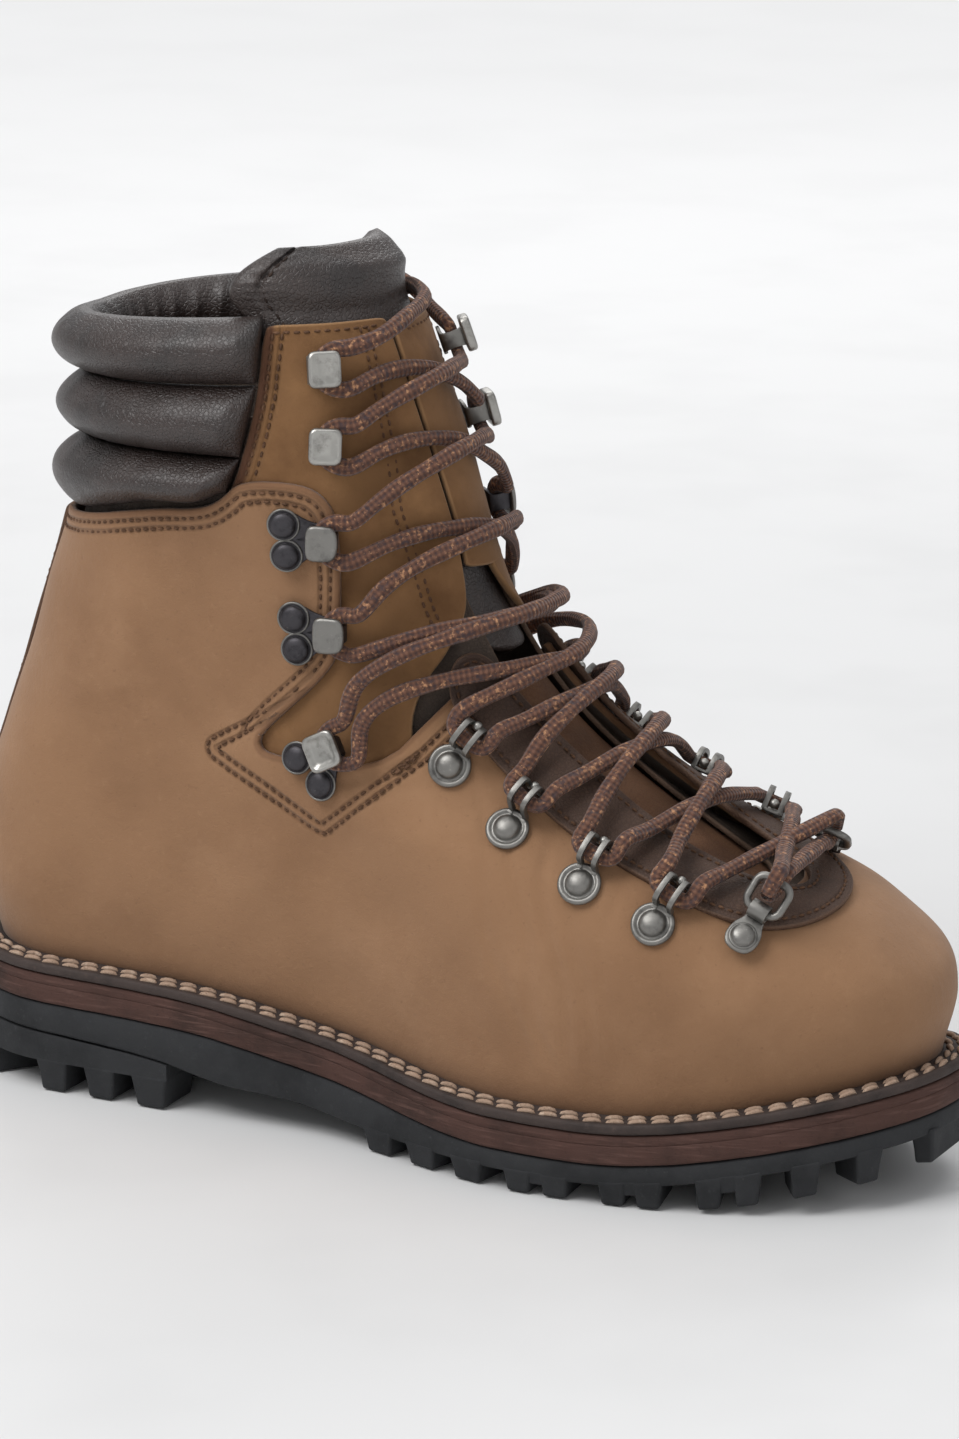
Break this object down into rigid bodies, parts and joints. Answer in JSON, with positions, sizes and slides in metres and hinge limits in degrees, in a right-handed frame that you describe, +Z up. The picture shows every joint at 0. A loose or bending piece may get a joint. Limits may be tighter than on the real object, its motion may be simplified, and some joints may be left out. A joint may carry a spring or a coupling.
{
  "type": "mountaineering boot",
  "caption": "Laced leather mountaineering boot for the right foot, with a padded collar in stacked rolls, a split shaft, ball eyelets and lace hooks, and a welted lug sole.",
  "frame": {"origin": "middle of the bounding box at the ground, under the heel and ball lugs", "axes": "+X to the toe, +Y to the inner side of the foot, +Z up"},
  "size_m": [0.302, 0.1082, 0.2483],
  "materials": {
    "sole_rubber": "black lugged rubber, matt, slightly dusty",
    "midsole_rubber": "dark red-brown microporous rubber, buffed edge",
    "welt_leather": "dark brown waxed edge",
    "welt_thread": "cream waxed twisted thread with brown flecks",
    "cork": "ground cork filler",
    "shank_steel": "plain spring steel strip",
    "fibre_board": "pressed fibre board",
    "footbed_leather": "dark fabric faced footbed",
    "nubuck_leather": "tan waxed nubuck, fine nap, slightly mottled",
    "trim_leather": "dark brown smooth leather",
    "shaft_leather": "tan brown fine grained soft leather",
    "lining_leather": "dark brown soft lining leather",
    "collar_leather": "dark brown grained soft leather, half gloss",
    "tongue_leather": "brown soft bellows leather",
    "lace_cord": "round braided cord, rust brown with grey flecks",
    "aglet_metal": "crimped metal sleeve",
    "bright_steel": "polished steel",
    "pewter_metal": "satin pewter plated steel"
  },
  "bodies": {
    "boot": {"aglet_1": "aglet_metal", "aglet_2": "aglet_metal", "backstay": "trim_leather", "collar_roll_bottom": "collar_leather", "collar_roll_middle": "collar_leather", "collar_roll_top": "collar_leather", "cork_filler": "cork", "eyelet_inner_1": "pewter_metal", "eyelet_inner_2": "pewter_metal", "eyelet_inner_3": "pewter_metal", "eyelet_inner_4": "pewter_metal", "eyelet_outer_1": "pewter_metal", "eyelet_outer_2": "pewter_metal", "eyelet_outer_3": "pewter_metal", "eyelet_outer_4": "pewter_metal", "facing_strip": "trim_leather", "footbed": "footbed_leather", "heel_block": "sole_rubber", "heel_counter": "fibre_board", "hook_deep_inner_5": "pewter_metal", "hook_deep_outer_5": "pewter_metal", "hook_riveted_inner_6": "pewter_metal", "hook_riveted_inner_7": "pewter_metal", "hook_riveted_outer_6": "pewter_metal", "hook_riveted_outer_7": "pewter_metal", "hook_top_inner_8": "pewter_metal", "hook_top_inner_9": "pewter_metal", "hook_top_outer_8": "pewter_metal", "hook_top_outer_9": "pewter_metal", "insole_board": "fibre_board", "lace": "lace_cord", "lining": "lining_leather", "midsole": "midsole_rubber", "outsole": "sole_rubber", "shaft_flap_inner": "shaft_leather", "shaft_flap_outer": "shaft_leather", "shank": "shank_steel", "toe_clip_inner": "pewter_metal", "toe_clip_outer": "pewter_metal", "toe_puff": "fibre_board", "tongue_lower": "tongue_leather", "upper_shell": "nubuck_leather", "welt": "welt_leather", "welt_stitch_1": "welt_thread", "welt_stitch_2": "welt_thread"},
    "eyelet_ball_inner_1": {"eyelet_ball_inner_1": "bright_steel"},
    "eyelet_ball_inner_2": {"eyelet_ball_inner_2": "bright_steel"},
    "eyelet_ball_inner_3": {"eyelet_ball_inner_3": "bright_steel"},
    "eyelet_ball_inner_4": {"eyelet_ball_inner_4": "bright_steel"},
    "eyelet_ball_outer_1": {"eyelet_ball_outer_1": "bright_steel"},
    "eyelet_ball_outer_2": {"eyelet_ball_outer_2": "bright_steel"},
    "eyelet_ball_outer_3": {"eyelet_ball_outer_3": "bright_steel"},
    "eyelet_ball_outer_4": {"eyelet_ball_outer_4": "bright_steel"},
    "toe_ring_inner": {"toe_ring_inner": "bright_steel"},
    "toe_ring_outer": {"toe_ring_outer": "bright_steel"},
    "tongue": {"tongue_upper": "collar_leather"}
  },
  "joints": [
    {"name": "eyelet_ball_inner_1_roll", "type": "hinge", "parent": "boot", "child": "eyelet_ball_inner_1", "pos_m": [0.08547, 0.02574, 0.09513], "axis": [0.9064, 0.2401, -0.3475], "continuous": true},
    {"name": "eyelet_ball_inner_2_roll", "type": "hinge", "parent": "boot", "child": "eyelet_ball_inner_2", "pos_m": [0.06218, 0.02947, 0.10273], "axis": [0.9584, 0.0513, -0.2808], "continuous": true},
    {"name": "eyelet_ball_inner_3_roll", "type": "hinge", "parent": "boot", "child": "eyelet_ball_inner_3", "pos_m": [0.04104, 0.03031, 0.11336], "axis": [0.8864, 0.0633, -0.4586], "continuous": true},
    {"name": "eyelet_ball_inner_4_roll", "type": "hinge", "parent": "boot", "child": "eyelet_ball_inner_4", "pos_m": [0.02312, 0.03049, 0.12553], "axis": [0.8348, 0.0361, -0.5494], "continuous": true},
    {"name": "eyelet_ball_outer_1_roll", "type": "hinge", "parent": "boot", "child": "eyelet_ball_outer_1", "pos_m": [0.08571, -0.03393, 0.08905], "axis": [-0.9088, 0.008, 0.4172], "continuous": true},
    {"name": "eyelet_ball_outer_2_roll", "type": "hinge", "parent": "boot", "child": "eyelet_ball_outer_2", "pos_m": [0.06234, -0.03358, 0.09681], "axis": [-0.9475, -0.0019, 0.3197], "continuous": true},
    {"name": "eyelet_ball_outer_3_roll", "type": "hinge", "parent": "boot", "child": "eyelet_ball_outer_3", "pos_m": [0.04079, -0.03231, 0.10884], "axis": [-0.9055, 0.0819, 0.4164], "continuous": true},
    {"name": "eyelet_ball_outer_4_roll", "type": "hinge", "parent": "boot", "child": "eyelet_ball_outer_4", "pos_m": [0.02321, -0.03194, 0.12327], "axis": [-0.8436, -0.0284, 0.5362], "continuous": true},
    {"name": "toe_ring_inner_swing", "type": "hinge", "parent": "boot", "child": "toe_ring_inner", "pos_m": [0.10666, 0.01704, 0.09022], "axis": [0.9315, 0.1637, -0.3248], "range_deg": [-5, 5]},
    {"name": "toe_ring_outer_swing", "type": "hinge", "parent": "boot", "child": "toe_ring_outer", "pos_m": [0.10719, -0.03062, 0.083], "axis": [-0.9018, -0.0662, 0.4271], "range_deg": [-5, 5]},
    {"name": "tongue_tip_back", "type": "hinge", "parent": "boot", "child": "tongue", "pos_m": [0.019, -0.00257, 0.143], "axis": [0, -1, 0], "range_deg": [0, 8]}
  ]
}
